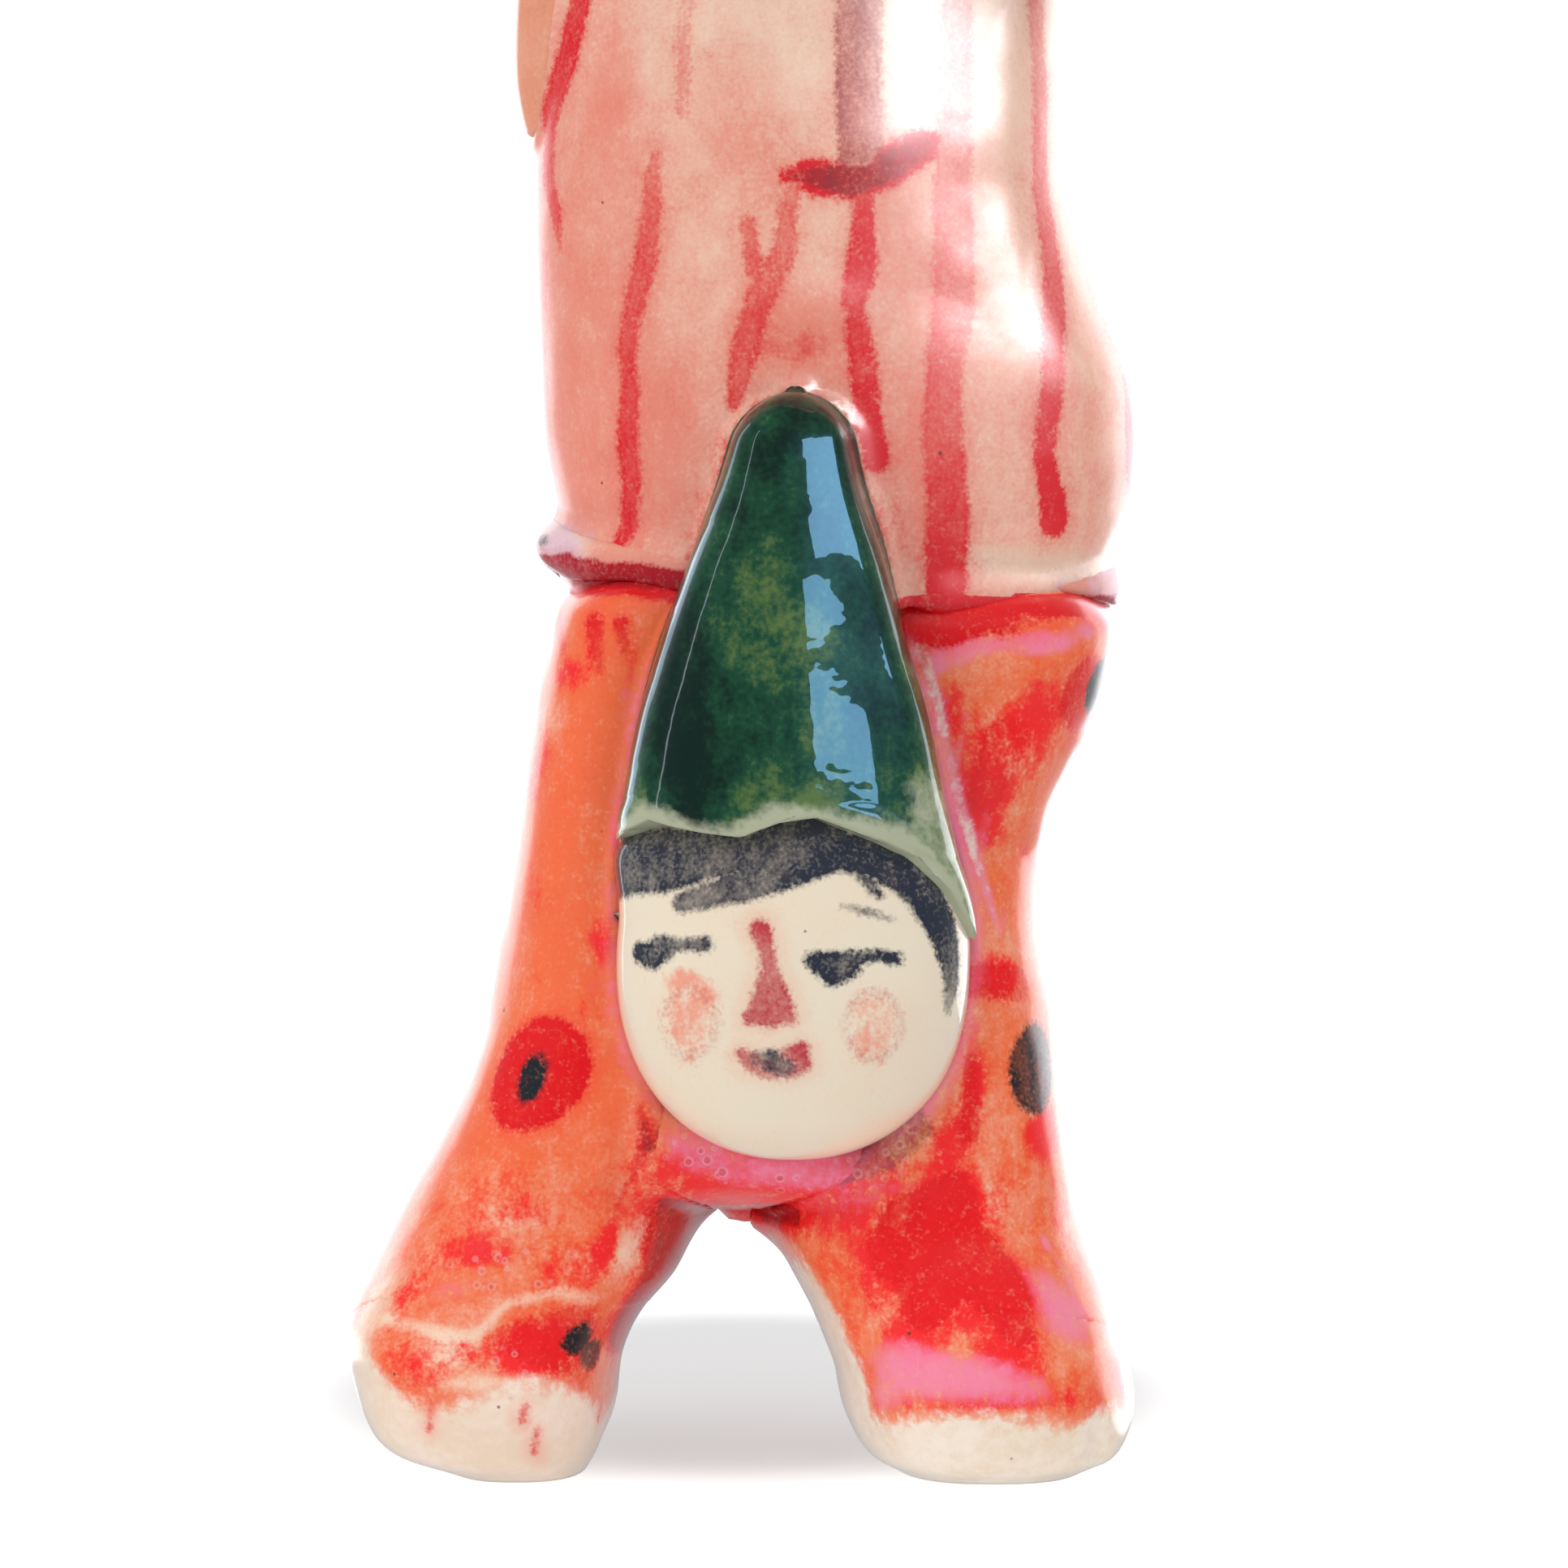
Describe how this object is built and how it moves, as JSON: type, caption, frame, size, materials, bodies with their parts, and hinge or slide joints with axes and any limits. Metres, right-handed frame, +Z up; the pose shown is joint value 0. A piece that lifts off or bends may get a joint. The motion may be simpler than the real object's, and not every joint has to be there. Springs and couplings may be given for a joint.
{
  "type": "tomte gnome figurine",
  "caption": "Standing ceramic gnome with a tall pointed hat, striped tunic and spotted trousers, carrying a small gnome's head on its front; a shelf ornament.",
  "frame": {"origin": "on the table, under the middle of the figure's bounding box", "axes": "+Z up from the soles to the hat's tip; -Y is the front, where the small gnome's head is; +X is to the right of someone facing the front"},
  "size_m": [0.0405, 0.0264, 0.137],
  "materials": {
    "leg_glaze": "orange-red brushed underglaze under a glossy clear glaze, with black dots ringed in red",
    "boot_clay": "cream clay under clear glaze, its upper part painted orange-red",
    "tunic_glaze": "pale pink wash with red brushed stripes under a glossy clear glaze",
    "hem_glaze": "lilac-white pooled glaze with a dark red line under it",
    "hat_glaze": "thick glossy dark green glaze, thinner and olive towards the rim",
    "face_clay": "cream clay with brushed black hair and eyes, red nose and mouth and pink cheeks",
    "hand_clay": "tan wash under clear glaze"
  },
  "bodies": {
    "root": {"left_foot": "boot_clay", "right_foot": "boot_clay", "left_leg": "leg_glaze", "right_leg": "leg_glaze", "saddle": "leg_glaze", "small_head": "face_clay", "small_hat": "hat_glaze", "tunic": "tunic_glaze", "hem_roll": "hem_glaze", "left_arm": "tunic_glaze", "right_arm": "tunic_glaze", "left_hand": "hand_clay", "right_hand": "hand_clay", "collar_roll": "hem_glaze", "neck": "face_clay", "head": "face_clay", "hat": "hat_glaze"}
  },
  "joints": []
}
